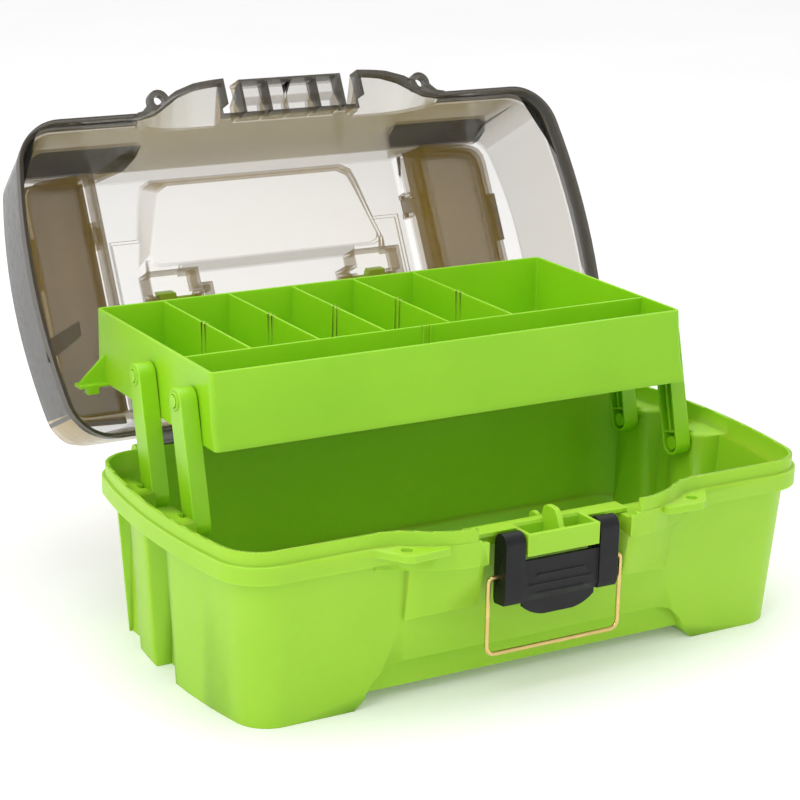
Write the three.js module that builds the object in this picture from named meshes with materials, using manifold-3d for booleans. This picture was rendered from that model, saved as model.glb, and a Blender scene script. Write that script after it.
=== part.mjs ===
// One-tray tackle box, standing open: a moulded tub, a smoke lid with two small-item bins, and a
// lift-out tray on four parallel arms. Millimetres, +Z up, X along the length, front towards -Y.
// The lid, hatches and handle are drawn shut and stowed, and their groups turn them to the open pose.

import * as THREE from 'three';
import { mergeVertices } from 'three/addons/utils/BufferGeometryUtils.js';
import Module from 'manifold-3d';

const wasm = await Module();
wasm.setup();

// ---------- driving dimensions ----------

const SIDES = [-1, 1];
const GAP = 0.3;
const OVERLAP = 0.5;
const ARC_STEPS = 6;

const TUB = {
  lipHalfWidth: 192, lipHalfDepth: 93.5, lipTop: 102, lipThickness: 2.2,
  bandHalfWidth: 193.6, bandHalfDepth: 96.3, bandTop: 94.8, bandBottom: 85,
  bodyHalfWidth: 186.4, bodyHalfDepth: 93, footHalfWidth: 181, footHalfDepth: 86.3,
  endBulge: 11, corner: 24, wall: 2.6, floorBottom: 7, floorTop: 10, stepZ: 92,
};
const ARCH = { crownZ: 24.5, crownHalf: 82, radius: 25, footHalf: 113, recess: 5.5 };
const FLUTE = { starts: [-9, 45], width: 26, floorX: 171.5 };
const POST = { face: 169, top: 92.4, slotHalf: 3.6 };
const LATCH_BAY = { halfWidth: 46, lipHalfWidth: 52.5 };
const CATCH = { halfWidth: 23, back: -95.5, front: -114.7, bottom: 82.4, top: 94.8, wall: 2 };
const PLATFORM = { halfWidth: 50, front: -101.6, bottom: 92.4, top: 94.8 };
const EAR = { x: 92.2, y: -104.7, holeRadius: 3.4, thickness: 4.2 };

const HINGE = {
  y: 106, z: 96.5, barrel: 4, pin: 1.6, clearance: 0.12, stationX: 128, halfLength: 26,
};
const LUG_LENGTH = 11;
const LID_OPEN = THREE.MathUtils.degToRad(117.4);
const LID = {
  wall: 1.6, rimHalfWidth: 195, rimHalfDepth: 97.2, rimBottom: -1.4, rimTop: 9, rimLip: 3,
  shellHalfWidth: 193, shellHalfDepth: 95,
  shoulderZ: 68, shoulderX: 182, roofX: 114, roofZ: 91,
};
const FACET = { near: 93, far: 168, low: [-200.5, 36], high: [-187.6, 66.5], draft: 5 };
const ARCH_STEP = { depth: 1.5, midZ: 47, midHalf: 74, endZ: 80, endHalf: 114 };
const SURROUND = { half: 104, front: 145, depth: 2 };
const BIN = { inner: 121, outer: 164.3, rear: 34, front: 184, floor: 61, corner: 12 };
const RECESS = { floor: 81, frontA: 178.5, rearA: 128, frontHalf: 70, rearHalf: 83, flare: 7 };
const POCKET = {
  inner: 50, step: 58, outer: 90, rear: 84, front: 120, stepFront: 109.5, floor: 73, channel: 82.4,
};
const HANDLE = { a: 104.6, h: 86.6, reach: 66, width: 12, thickness: 7, pinRadius: 2.4 };
const HANDLE_HANG = THREE.MathUtils.degToRad(152.6);
const HATCH = {
  axisX: 115.5, axisH: 93.2, thickness: 1.8, knuckle: 2.4, stub: 1.2, stations: [62, 152],
  skirtGap: 1.3, skirtWall: 1.4,
};
const COMB = { halfWidth: 36, wall: 1.8, ribs: 3 };

const TRAY = {
  halfWidth: 156, front: -2, back: 153.7, top: 172, bottom: 129.3, floorTop: 132.5, wall: 1.6,
  flareZ: 143.4, flareFront: -5.5, footFront: -10, footHalfWidth: 157.4,
  pitch: 43.3, midWallY: 36, rib: 1.3, slotGap: 2.4,
};
const ARM = { inner: 156.9, outer: 167.3, radius: 7.35, lowerZ: 86.3, lean: 14.22, length: 67.98 };
const ARM_Y = { front: 2.5, rear: 57 };
const PIVOT = { stud: 3.5, hole: 3.9, ring: 5.4, lowerStud: 3.1 };
const LUG = { y: 142, tipX: 174, plateZ: 130, gussetZ: 147, hookZ: 124 };

const LEVER = {
  inner: 24.2, outer: 36.6, y: -108.3, z: 89.6, radius: 6, bottom: 55.6, chamfer: 3.6,
  plateFront: -112.8, plateTop: 79.3, plateThickness: 2.6, tabBottom: 46.2,
  pin: 1.8, pinHole: 1.9, ridges: [[70.3, 15], [64.8, 20], [59.6, 15]],
};
const BAIL = { halfWidth: 42.7, y: -107.2, z: 70.8, drop: 43.8, wire: 1.3, corner: 5 };

// ---------- materials ----------

const plastic = (color, roughness) => new THREE.MeshStandardMaterial({ color, roughness, metalness: 0 });
const LIME = plastic(0x9ad038, 0.42);
const BLACK = plastic(0x1b1b1d, 0.5);
const SMOKE = new THREE.MeshStandardMaterial({
  color: 0x8c8375, roughness: 0.2, metalness: 0, transparent: true, opacity: 0.55,
});
const STEEL = new THREE.MeshStandardMaterial({ color: 0xb8b8ba, roughness: 0.3, metalness: 1 });
const BRASS = new THREE.MeshStandardMaterial({ color: 0xd2a14a, roughness: 0.25, metalness: 1 });

// ---------- solids ----------

// A closed three.js geometry as a solid that can be joined and cut.
function solid(geometry) {
  const bare = geometry.clone();
  bare.deleteAttribute('normal');
  bare.deleteAttribute('uv');
  const merged = mergeVertices(bare, 1e-4);
  return new wasm.Manifold(new wasm.Mesh({
    numProp: 3,
    vertProperties: new Float32Array(merged.attributes.position.array),
    triVerts: new Uint32Array(merged.index.array),
  }));
}

function toGeometry(manifold) {
  const mesh = manifold.getMesh();
  const geometry = new THREE.BufferGeometry();
  geometry.setAttribute('position', new THREE.BufferAttribute(new Float32Array(mesh.vertProperties), 3));
  geometry.setIndex(new THREE.BufferAttribute(new Uint32Array(mesh.triVerts), 1));
  geometry.computeVertexNormals();
  return geometry;
}

function namedMesh(name, manifold, material) {
  const mesh = new THREE.Mesh(toGeometry(manifold), material);
  mesh.name = name;
  return mesh;
}

const union = (solids) => solids.reduce((whole, next) => whole.add(next));
const cutAll = (body, tools) => tools.reduce((rest, tool) => rest.subtract(tool), body);

// An outline may be a shape or a plain list of corners.
function toShape(outline) {
  if (outline instanceof THREE.Shape) return outline;
  return new THREE.Shape(outline.map(([u, v]) => new THREE.Vector2(u, v)));
}

// An outline pushed along one axis: the outline's own plane is XY, YZ or XZ.
function extruded(outline, depth, curveSegments) {
  return new THREE.ExtrudeGeometry(toShape(outline), { depth, bevelEnabled: false, curveSegments });
}

function prismZ(outline, bottom, top, curveSegments = 4) {
  const geometry = extruded(outline, top - bottom, curveSegments);
  geometry.translate(0, 0, bottom);
  return solid(geometry);
}

// The outline is (y, z).
function prismX(outline, left, right, curveSegments = 6) {
  const geometry = extruded(outline, right - left, curveSegments);
  const [x, y, z] = [new THREE.Vector3(1, 0, 0), new THREE.Vector3(0, 1, 0), new THREE.Vector3(0, 0, 1)];
  geometry.applyMatrix4(new THREE.Matrix4().makeBasis(y, z, x));
  geometry.translate(left, 0, 0);
  return solid(geometry);
}

// The outline is (x, z).
function prismY(outline, front, back, curveSegments = 5) {
  const geometry = extruded(outline, back - front, curveSegments);
  geometry.rotateX(Math.PI / 2);
  geometry.translate(0, back, 0);
  return solid(geometry);
}

function block(left, right, front, back, bottom, top) {
  const geometry = new THREE.BoxGeometry(right - left, back - front, top - bottom);
  geometry.translate((left + right) / 2, (front + back) / 2, (bottom + top) / 2);
  return solid(geometry);
}

// The same block on both ends, or on one: near and far are distances from the middle plane.
function sideBlock(side, near, far, front, back, bottom, top) {
  const [left, right] = side > 0 ? [near, far] : [-far, -near];
  return block(left, right, front, back, bottom, top);
}

function rodX(y, z, radius, left, right, segments = 16) {
  const geometry = new THREE.CylinderGeometry(radius, radius, right - left, segments);
  geometry.rotateZ(Math.PI / 2);
  geometry.translate((left + right) / 2, y, z);
  return solid(geometry);
}

function sideRod(side, y, z, radius, near, far, segments = 16) {
  const [left, right] = side > 0 ? [near, far] : [-far, -near];
  return rodX(y, z, radius, left, right, segments);
}

function rodY(x, z, radius, front, back, segments = 12) {
  const geometry = new THREE.CylinderGeometry(radius, radius, back - front, segments);
  geometry.translate(x, (front + back) / 2, z);
  return solid(geometry);
}

function rodZ(x, y, radius, bottom, top, segments = 18) {
  const geometry = new THREE.CylinderGeometry(radius, radius, top - bottom, segments);
  geometry.rotateX(Math.PI / 2);
  geometry.translate(x, y, (bottom + top) / 2);
  return solid(geometry);
}

// Skins level rings of equal point counts into one closed body.
function loft(rings) {
  const count = rings[0].points.length;
  const positions = [];
  for (const ring of rings) {
    for (const point of ring.points) positions.push(point.x, point.y, ring.z);
  }
  const index = [];
  for (let level = 0; level < rings.length - 1; level += 1) {
    for (let i = 0; i < count; i += 1) {
      const j = (i + 1) % count;
      const [a, b] = [level * count + i, level * count + j];
      index.push(a, b, b + count, a, b + count, a + count);
    }
  }
  const last = (rings.length - 1) * count;
  const bottomCap = THREE.ShapeUtils.triangulateShape(rings[0].points, []);
  const topCap = THREE.ShapeUtils.triangulateShape(rings[rings.length - 1].points, []);
  for (const [a, b, c] of bottomCap) index.push(c, b, a);
  for (const [a, b, c] of topCap) index.push(last + a, last + b, last + c);
  const geometry = new THREE.BufferGeometry();
  geometry.setAttribute('position', new THREE.Float32BufferAttribute(positions, 3));
  geometry.setIndex(index);
  return solid(geometry);
}

// ---------- outlines ----------

// A rectangle with gently bowed ends and round corners. The ends bow out by TUB.endBulge.
function barrelShape(halfWidth, halfDepth, radius = TUB.corner) {
  const bulge = TUB.endBulge;
  const endRadius = (halfDepth ** 2 + bulge ** 2) / (2 * bulge);
  const endX = halfWidth - endRadius;
  const cornerY = halfDepth - radius;
  const cornerX = endX + Math.sqrt((endRadius - radius) ** 2 - cornerY ** 2);
  const turn = Math.atan2(cornerY, cornerX - endX);
  const shape = new THREE.Shape();
  shape.absarc(cornerX, -cornerY, radius, -Math.PI / 2, -turn);
  shape.absarc(endX, 0, endRadius, -turn, turn);
  shape.absarc(cornerX, cornerY, radius, turn, Math.PI / 2);
  shape.absarc(-cornerX, cornerY, radius, Math.PI / 2, Math.PI - turn);
  shape.absarc(-endX, 0, endRadius, Math.PI - turn, Math.PI + turn);
  shape.absarc(-cornerX, -cornerY, radius, Math.PI + turn, Math.PI * 1.5);
  return shape;
}

function barrelRing(z, halfWidth, halfDepth, radius = TUB.corner) {
  const points = barrelShape(halfWidth, halfDepth, radius).getPoints(ARC_STEPS);
  const open = points.filter((point, i) => i === 0 || point.distanceTo(points[i - 1]) > 1e-3);
  if (open[0].distanceTo(open[open.length - 1]) < 1e-3) open.pop();
  return { z, points: open };
}

// One wing of the forward bulge beside the latch, grown outwards by grow: an S-curve from the
// straight front edge to the bulge's own front, ending square at the latch bay.
function bulgeShape(side, grow, innerX = LATCH_BAY.halfWidth) {
  const shape = new THREE.Shape();
  const root = -TUB.lipHalfDepth;
  shape.moveTo(side * innerX, root + 12);
  shape.lineTo(side * (106 + grow), root + 12);
  shape.lineTo(side * (104 + grow), root - grow);
  shape.bezierCurveTo(
    side * (88 + grow), root - grow, side * (84 + grow), root - 12.5 - grow,
    side * (66 + grow / 2), root - 16 - grow,
  );
  shape.quadraticCurveTo(side * 58, root - 17.6 - grow, side * innerX, root - 18 - grow);
  shape.closePath();
  return shape;
}

// A stadium from the origin up to length, in (y, z).
function stadium(radius, length) {
  const shape = new THREE.Shape();
  shape.absarc(0, 0, radius, Math.PI, 2 * Math.PI);
  shape.absarc(0, length, radius, 0, Math.PI);
  shape.closePath();
  return shape;
}

function roundedRectangle(left, right, bottom, top, radius) {
  const shape = new THREE.Shape();
  shape.absarc(right - radius, bottom + radius, radius, -Math.PI / 2, 0);
  shape.absarc(right - radius, top - radius, radius, 0, Math.PI / 2);
  shape.absarc(left + radius, top - radius, radius, Math.PI / 2, Math.PI);
  shape.absarc(left + radius, bottom + radius, radius, Math.PI, Math.PI * 1.5);
  return shape;
}

// ---------- tub ----------

// The low arch between the feet, in (x, z).
function archShape() {
  const shape = new THREE.Shape();
  const springX = ARCH.crownHalf + ARCH.radius;
  shape.moveTo(-ARCH.footHalf, -1);
  shape.lineTo(-springX, ARCH.crownZ - ARCH.radius + 3);
  shape.absarc(-ARCH.crownHalf, ARCH.crownZ - ARCH.radius, ARCH.radius, Math.PI * 0.94, Math.PI / 2, true);
  shape.absarc(ARCH.crownHalf, ARCH.crownZ - ARCH.radius, ARCH.radius, Math.PI / 2, Math.PI * 0.06, true);
  shape.lineTo(springX, ARCH.crownZ - ARCH.radius + 3);
  shape.lineTo(ARCH.footHalf, -1);
  shape.closePath();
  return shape;
}

// The tub's outside: drafted body, rim band, upstanding lip and the forward bulge.
function tubOutside() {
  const bodyTop = TUB.bandBottom + OVERLAP;
  const draft = (TUB.bodyHalfWidth - TUB.footHalfWidth) / bodyTop;
  const body = loft([
    barrelRing(0, TUB.footHalfWidth, TUB.footHalfDepth, TUB.corner - 4),
    barrelRing(bodyTop, TUB.footHalfWidth + draft * bodyTop, TUB.bodyHalfDepth),
  ]);
  const bandOutline = barrelShape(TUB.bandHalfWidth, TUB.bandHalfDepth, TUB.corner + 3);
  const band = prismZ(bandOutline, TUB.bandBottom, TUB.bandTop, ARC_STEPS);
  const lip = prismZ(barrelShape(TUB.lipHalfWidth, TUB.lipHalfDepth), TUB.stepZ - 1, TUB.lipTop, ARC_STEPS);
  const pieces = [body, band, lip];
  for (const side of SIDES) {
    pieces.push(prismZ(bulgeShape(side, 0.6), TUB.bandBottom - 4, TUB.bandTop));
    pieces.push(prismZ(bulgeShape(side, 0, LATCH_BAY.lipHalfWidth), TUB.stepZ - 1, TUB.lipTop));
    pieces.push(sidePad(side));
    pieces.push(earFlange(side));
  }
  return union(pieces);
}

// The smooth swelling under each ear that carries the bulge back to the front wall.
function sidePad(side) {
  const inner = LATCH_BAY.halfWidth + 1;
  const outer = 85.5;
  const ring = (z, innerFront, outerFront) => {
    const corners = [
      [inner, -84], [inner, innerFront], [outer - 9, outerFront - 1.6], [outer, outerFront], [outer, -84],
    ];
    const points = corners.map(([x, y]) => new THREE.Vector2(side * x, y));
    return { z, points: side > 0 ? points : points.reverse() };
  };
  const pad = loft([ring(45, -102, -92), ring(TUB.bandBottom + 1, -109.8, -98)]);
  const belowPad = [[inner - 2, 56.2], [outer + 2, 49], [outer + 2, 40], [inner - 2, 40]];
  return pad.subtract(prismY(belowPad.map(([x, z]) => [side * x, z]), -130, -80));
}

function earFlange(side) {
  const corners = [[108, -96], [97, -112], [93, -114], [70, -112.5], [70, -96]];
  const outline = corners.map(([x, y]) => [side * x, y]);
  return prismZ(outline, TUB.bandTop - EAR.thickness, TUB.bandTop);
}

// What is scooped out of the tub: the main hollow less the posts, and the wider mouth inside the lip.
function tubHollow() {
  const upper = loft([
    barrelRing(ARCH.crownZ + 3, 180.4, 86.2, TUB.corner - 3),
    barrelRing(TUB.stepZ + 0.1, TUB.bodyHalfWidth - TUB.wall, TUB.bodyHalfDepth - TUB.wall, TUB.corner - 2),
  ]);
  const lowerHalfDepth = TUB.footHalfDepth - ARCH.recess - TUB.wall;
  const lower = loft([
    barrelRing(TUB.floorTop, 177.6, lowerHalfDepth, TUB.corner - 6),
    barrelRing(ARCH.crownZ + 3.1, 180, lowerHalfDepth + 1.6, TUB.corner - 5),
  ]);
  const mouth = prismZ(
    barrelShape(TUB.lipHalfWidth - TUB.lipThickness, TUB.lipHalfDepth - TUB.lipThickness, TUB.corner - 2),
    TUB.stepZ, TUB.lipTop + 1, ARC_STEPS,
  );
  const posts = [];
  for (const side of SIDES) {
    for (const start of FLUTE.starts) {
      const [front, back] = [start - TUB.wall, start + FLUTE.width + TUB.wall];
      posts.push(sideBlock(side, POST.face, 200, front, back, 0, POST.top));
    }
  }
  const bulge = (side) => prismZ(bulgeShape(side, -TUB.lipThickness, 40), TUB.stepZ, TUB.lipTop + 1);
  const bulges = SIDES.map(bulge);
  return union([upper, lower, mouth, ...bulges]).subtract(union(posts));
}

function tubCuts() {
  const tools = [];
  const arch = archShape();
  const low = new THREE.Shape();
  low.moveTo(-ARCH.footHalf, -1);
  low.lineTo(ARCH.footHalf, -1);
  low.lineTo(ARCH.footHalf - 8, TUB.floorBottom);
  low.lineTo(-ARCH.footHalf + 8, TUB.floorBottom);
  tools.push(prismY(low, -130, 130));
  tools.push(prismY(arch, -130, -TUB.footHalfDepth + ARCH.recess));
  tools.push(prismY(arch, TUB.footHalfDepth - ARCH.recess, 130));
  for (const side of SIDES) {
    for (const start of FLUTE.starts) {
      tools.push(sideBlock(side, FLUTE.floorX, 220, start, start + FLUTE.width, -1, TUB.bandBottom));
    }
    tools.push(rodZ(side * EAR.x, EAR.y, EAR.holeRadius, 80, 110));
  }
  // The lip stops at the latch bay.
  const lipGap = [-PLATFORM.halfWidth, PLATFORM.halfWidth];
  tools.push(block(...lipGap, -130, -88, PLATFORM.bottom + 1, TUB.lipTop + 1));
  return tools;
}

// Slots at the top of each post, where the arms' lower studs turn.
function postSlots() {
  const slots = [];
  for (const side of SIDES) {
    for (const y of [ARM_Y.front, ARM_Y.rear]) {
      const [near, far] = [POST.face - 1, POST.face + 4];
      const mouthHalf = POST.slotHalf - 0.4;
      slots.push(sideRod(side, y, ARM.lowerZ, POST.slotHalf, near, far));
      slots.push(sideBlock(side, near, far, y - mouthHalf, y + mouthHalf, ARM.lowerZ, POST.top + 1));
    }
  }
  return slots;
}

// The platform behind the lever, the open catch box and its upright fin.
function catchHousing() {
  const inside = -TUB.bodyHalfDepth + TUB.wall;
  const { halfWidth, front, bottom, top } = PLATFORM;
  const platform = block(-halfWidth, halfWidth, front, inside, bottom, top);
  const box = block(-CATCH.halfWidth, CATCH.halfWidth, CATCH.front, inside - 1, CATCH.bottom, CATCH.top);
  const wallX = CATCH.halfWidth - CATCH.wall;
  const pocketFront = CATCH.front + CATCH.wall;
  const pocketFloor = CATCH.bottom + 2.4;
  const pocket = (left, right) => block(left, right, pocketFront, CATCH.back, pocketFloor, CATCH.top + 5);
  const housing = union([platform, box]).subtract(pocket(-wallX, -1.5)).subtract(pocket(1.5, wallX));
  const tallFin = new THREE.Shape();
  tallFin.moveTo(-112.6, 88);
  tallFin.quadraticCurveTo(-112, 97, -107.4, 102.4);
  tallFin.quadraticCurveTo(-106.4, 103.4, -104.6, 103.6);
  tallFin.lineTo(-99.4, 103.6);
  tallFin.quadraticCurveTo(-96.6, 103.4, -95.4, 100.6);
  tallFin.lineTo(-93.4, 94);
  tallFin.lineTo(-94, 88);
  tallFin.closePath();
  const smallFin = new THREE.Shape();
  smallFin.moveTo(-91.4, 84);
  smallFin.lineTo(-91.4, 94);
  smallFin.lineTo(-87, 95.4);
  smallFin.quadraticCurveTo(-83.2, 96.4, -81.6, 93);
  smallFin.lineTo(-80.8, 84);
  smallFin.closePath();
  return housing.add(prismX(tallFin, -1.5, 1.5, 4)).add(prismX(smallFin, -1.2, 1.2, 4));
}

function tubHingeLugs() {
  const lugs = [];
  for (const side of SIDES) {
    for (const [near, far] of hingeTubSpans()) {
      lugs.push(sideRod(side, HINGE.y, HINGE.z, HINGE.barrel, near, far, 18));
      const root = [
        [96, 85.5], [HINGE.y + 2, 92.5], [HINGE.y + 3.6, HINGE.z],
        [HINGE.y - 3.6, HINGE.z + 1], [98, 94.2], [96, 94.2],
      ];
      const [left, right] = side > 0 ? [near, far] : [-far, -near];
      lugs.push(prismX(root, left, right));
    }
  }
  return lugs;
}

// Each hinge station: a tub lug on each side of the lid's knuckle.
function hingeTubSpans() {
  const { stationX, halfLength } = HINGE;
  const [near, far] = [stationX - halfLength, stationX + halfLength];
  return [[near, near + LUG_LENGTH], [far - LUG_LENGTH, far]];
}

function buildTub() {
  let tub = tubOutside().subtract(tubHollow());
  tub = cutAll(tub, [...tubCuts(), ...postSlots()]);
  tub = tub.add(catchHousing());
  tub = tub.add(union(tubHingeLugs()));
  const [pinNear, pinFar] = [HINGE.stationX - HINGE.halfLength - 2, HINGE.stationX + HINGE.halfLength - 2];
  const leverWall = [CATCH.halfWidth - CATCH.wall - 1, CATCH.halfWidth + 1];
  for (const side of SIDES) {
    tub = tub.subtract(sideRod(side, HINGE.y, HINGE.z, HINGE.pin + HINGE.clearance, pinNear, pinFar, 18));
    tub = tub.subtract(sideRod(side, LEVER.y, LEVER.z, LEVER.pinHole, ...leverWall, 14));
  }
  return namedMesh('tub', tub, LIME);
}

function buildHingePin(side, name) {
  const near = HINGE.stationX - HINGE.halfLength + 0.5;
  const far = HINGE.stationX + HINGE.halfLength - 2.5;
  return namedMesh(name, sideRod(side, HINGE.y, HINGE.z, HINGE.pin, near, far, 16), STEEL);
}

// ---------- lid (drawn shut, hinge axis on the X axis, front towards -Y) ----------

const lidMidY = -(HINGE.y);

// The outside or inside of the lid's dome, inset by the wall.
function lidDome(inset) {
  const base = LID.rimTop - 2 - (inset ? 12 : 0);
  const rings = [
    barrelRing(base, LID.shellHalfWidth - inset + (inset ? 0.2 : 0), LID.shellHalfDepth - inset, TUB.corner),
    barrelRing(LID.roofZ + 6, LID.shellHalfWidth - 13 - inset, LID.shellHalfDepth - 8 - inset, TUB.corner),
  ];
  const walls = loft(rings).translate([0, lidMidY, 0]);
  const top = LID.roofZ - inset;
  const gable = [
    [-220, -20], [220, -20], [220, LID.shoulderZ - inset], [LID.shoulderX, LID.shoulderZ - inset],
    [LID.roofX + 2, top - 4], [LID.roofX - 3, top], [-LID.roofX + 3, top], [-LID.roofX - 2, top - 4],
    [-LID.shoulderX, LID.shoulderZ - inset], [-220, LID.shoulderZ - inset],
  ];
  const profile = [
    [-6 - inset, -20], [-8 - inset, 12], [-16 - inset, 62], [-25 - inset, top - 7], [-34 - inset, top],
    [-186 + inset, top], [-193 + inset, top - 8], [-198 + inset, 62], [-205 + inset, -20],
  ];
  return walls.intersect(prismY(gable, -260, 20)).intersect(prismX(profile, -230, 230));
}

function lidRim() {
  const outline = barrelShape(LID.rimHalfWidth, LID.rimHalfDepth, TUB.corner + 6);
  const bead = barrelShape(LID.rimHalfWidth - 1.2, LID.rimHalfDepth - 1.1, TUB.corner + 5);
  const outer = prismZ(outline, LID.rimBottom, LID.rimBottom + LID.rimLip, ARC_STEPS);
  const upper = prismZ(bead, LID.rimBottom + 1, LID.rimTop, ARC_STEPS);
  const bulge = (side) => prismZ(bulgeShape(side, 4.2, LATCH_BAY.halfWidth + 1), LID.rimBottom, LID.rimTop);
  return union([outer, upper, ...SIDES.map(bulge)]).translate([0, lidMidY, 0]);
}

// The hollow of the rim: wide enough below to cover the tub's lip, narrower above.
function lidRimHollow() {
  const lipRoom = TUB.lipTop - HINGE.z + 1;
  const coverLip = barrelShape(TUB.lipHalfWidth + 0.9, TUB.lipHalfDepth + 0.9, TUB.corner + 1);
  const lower = prismZ(coverLip, LID.rimBottom - 1, lipRoom, ARC_STEPS);
  const mouth = barrelShape(TUB.lipHalfWidth - 1, TUB.lipHalfDepth - 0.4);
  const upper = prismZ(mouth, 0, LID.rimTop + 2, ARC_STEPS);
  const bulge = (side) => prismZ(bulgeShape(side, 1, LATCH_BAY.halfWidth + 3), LID.rimBottom - 1, lipRoom);
  const bulges = SIDES.map(bulge);
  const middle = block(-54, 54, -99, -80, LID.rimBottom - 1, 8);
  return union([lower, upper, middle, ...bulges]).translate([0, lidMidY, 0]);
}

// The arched covers over the bulge, from the rim up to the front wall, and their hollows.
function lidWing(side, inset) {
  const ring = (z, grow, backY) => {
    const points = bulgeShape(side, grow, LATCH_BAY.halfWidth + 1 + inset).getPoints(5);
    const clipped = points.map((point) => new THREE.Vector2(point.x, Math.max(point.y, backY)));
    const open = clipped.filter((point, i) => i === 0 || point.distanceTo(points[i - 1]) > 1e-3);
    if (open[0].distanceTo(open[open.length - 1]) < 1e-3) open.pop();
    return { z, points: side > 0 ? open.reverse() : open };
  };
  const low = ring(inset ? TUB.lipTop - HINGE.z : LID.rimTop - 1, 4.2 - inset, -200);
  const high = {
    z: 24 - inset,
    points: low.points.map((point) => new THREE.Vector2(point.x * 0.985, -86 + (point.y + 86) * 0.28)),
  };
  return loft([low, high]).translate([0, lidMidY, 0]);
}

// The ear over each padlock hole.
function lidEar(side) {
  const root = [[107, -96], [EAR.x + 7, EAR.y + 1.5], [EAR.x, EAR.y - 6], [EAR.x - 8, EAR.y], [80, -98]];
  const base = LID.rimBottom + 1.3;
  const web = prismZ(root.map(([x, y]) => [side * x, y]), base, 5);
  return web.add(rodZ(side * EAR.x, EAR.y, 7, base, 5, 18)).translate([0, lidMidY, 0]);
}

// The ribbed catch that the bail hooks over: hollow from below, with a groove along its top.
function lidComb() {
  const outer = [
    [-199, 1], [-221, 1], [-221.6, 14.6], [-220.4, 15.6],
    [-218.8, 14.2], [-213.6, 14.2], [-210, 21], [-199, 23],
  ];
  const hollow = [[-197, -2], [-219.6, -2], [-219.6, 12.4], [-212.4, 12.4], [-208.8, 19], [-197, 21]];
  const span = 2 * COMB.halfWidth - 2 * COMB.wall;
  const cell = span / (COMB.ribs + 1);
  let comb = prismX(outer, -COMB.halfWidth, COMB.halfWidth);
  for (let i = 0; i <= COMB.ribs; i += 1) {
    const left = -COMB.halfWidth + COMB.wall + i * cell + (i ? COMB.wall / 2 : 0);
    const right = -COMB.halfWidth + COMB.wall + (i + 1) * cell - (i < COMB.ribs ? COMB.wall / 2 : 0);
    comb = comb.subtract(prismX(hollow, left, right));
  }
  return comb.subtract(block(-2.4, 2.4, -218, -194, -2, 12));
}

// The plan of a bin, grown by grow, with its outer corners rounded.
function binShape(side, grow) {
  const [near, far] = [BIN.inner - grow, BIN.outer + grow];
  const [front, rear] = [-BIN.front - grow, -BIN.rear + grow];
  const round = BIN.corner + grow;
  const shape = new THREE.Shape();
  shape.moveTo(side * near, front);
  shape.lineTo(side * (far - round), front + 2.5);
  shape.quadraticCurveTo(side * far, front + 3.5, side * far, front + round + 3);
  shape.lineTo(side * far, rear - round);
  shape.quadraticCurveTo(side * far, rear, side * (far - round), rear);
  shape.lineTo(side * near, rear);
  shape.closePath();
  return shape;
}

// A bin's tray hangs inside the dome, and its inner wall leans towards the middle.
function lidBin(side, grow) {
  const tray = prismZ(binShape(side, grow), BIN.floor - grow, 120);
  const [wall, floor] = [BIN.inner - grow, BIN.floor - grow];
  const lean = [[BIN.inner + 1, floor], [wall, floor], [wall - 7, 95], [BIN.inner + 1, 95]];
  const [front, rear] = [-BIN.front - grow, -BIN.rear + grow];
  return tray.add(prismY(lean.map(([x, z]) => [side * x, z]), front, rear));
}

function recessRing(z, grow) {
  const { frontA, rearA, frontHalf, rearHalf } = RECESS;
  const [front, rear] = [-frontA - grow * 0.8, -rearA + grow];
  const [frontX, rearX] = [frontHalf + grow, rearHalf + grow];
  const half = [
    [rearX - 7, rear], [rearX - 2, rear - 2], [rearX, rear - 7],
    [frontX + 2, front + 12], [frontX - 1, front + 4], [frontX - 8, front],
  ];
  const right = half.map(([x, y]) => new THREE.Vector2(x, y));
  const left = half.map(([x, y]) => new THREE.Vector2(-x, y)).reverse();
  return { z, points: [...right, ...left].reverse() };
}

// The handle's shallow recess and its two deeper pivot pockets, as solids to add and to cut.
function handleWell(grow) {
  const slope = RECESS.flare / (LID.roofZ - RECESS.floor);
  const rise = 12;
  const well = loft([
    recessRing(RECESS.floor - grow, grow),
    recessRing(LID.roofZ - grow, grow + RECESS.flare),
    recessRing(LID.roofZ + rise, grow + RECESS.flare + slope * rise),
  ]);
  const { inner, step, outer, rear, front, stepFront, floor, channel } = POCKET;
  const surround = SURROUND.half + grow;
  const shallow = LID.roofZ - SURROUND.depth - grow;
  const pieces = [well, block(-surround, surround, -SURROUND.front - grow, -rear + grow, shallow, 120)];
  for (const side of SIDES) {
    pieces.push(sideBlock(side, step - grow, outer + grow, -front - grow, -rear + grow, floor - grow, 120));
    pieces.push(sideBlock(side, inner - grow, outer, -stepFront - grow, -rear + grow, floor - grow, 120));
    const [near, far] = [step + 6 - grow, outer - 5 + grow];
    pieces.push(sideBlock(side, near, far, -RECESS.rearA - 3, -front + 1, channel - grow, 120));
  }
  return union(pieces);
}

// Bosses in the pockets that hold the handle's stub pins.
function handleBosses() {
  const bosses = [];
  for (const side of SIDES) {
    for (const [near, far] of [[POCKET.inner - 1, POCKET.inner + 7], [POCKET.outer - 4, POCKET.outer + 1]]) {
      const post = sideBlock(side, near, far, -HANDLE.a - 1, -HANDLE.a + 6, POCKET.floor - 1, HANDLE.h + 3.2);
      const boss = post.add(sideRod(side, -HANDLE.a, HANDLE.h - 1.5, 4.7, near, far, 16));
      const hole = sideRod(side, -HANDLE.a, HANDLE.h, HANDLE.pinRadius + 0.35, near - 1, far + 1, 16);
      bosses.push(boss.subtract(hole));
    }
  }
  return bosses;
}

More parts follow.
